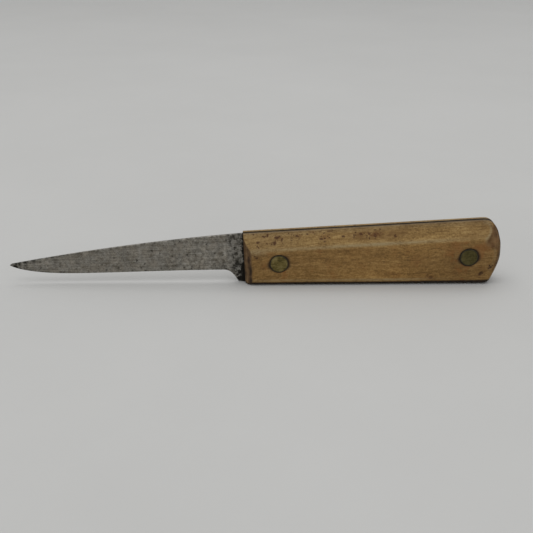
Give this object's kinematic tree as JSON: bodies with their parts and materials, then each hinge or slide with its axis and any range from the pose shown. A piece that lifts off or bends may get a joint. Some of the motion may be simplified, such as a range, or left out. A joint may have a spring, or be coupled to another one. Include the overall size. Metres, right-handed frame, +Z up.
{
  "type": "paring knife",
  "caption": "Paring knife with a slim ground steel blade and full tang, beveled wooden scales and flush brass compression rivets, standing spine up.",
  "frame": {"origin": "middle of the knife's length and thickness, on the flat bottom of its handle", "axes": "+X along the knife towards the butt, +Y across it towards the right scale, +Z up towards the spine"},
  "size_m": [0.1942, 0.0104, 0.0261],
  "materials": {
    "steel": "dull carbon steel with a grey patina and fine pits",
    "wood": "aged pale hardwood, worn satin",
    "brass": "tarnished, ground flush"
  },
  "bodies": {
    "root": {"blade": "steel", "left_scale": "wood", "right_scale": "wood", "front_rivet_stem": "brass", "front_rivet_sleeve": "brass", "rear_rivet_stem": "brass", "rear_rivet_sleeve": "brass"}
  },
  "joints": []
}
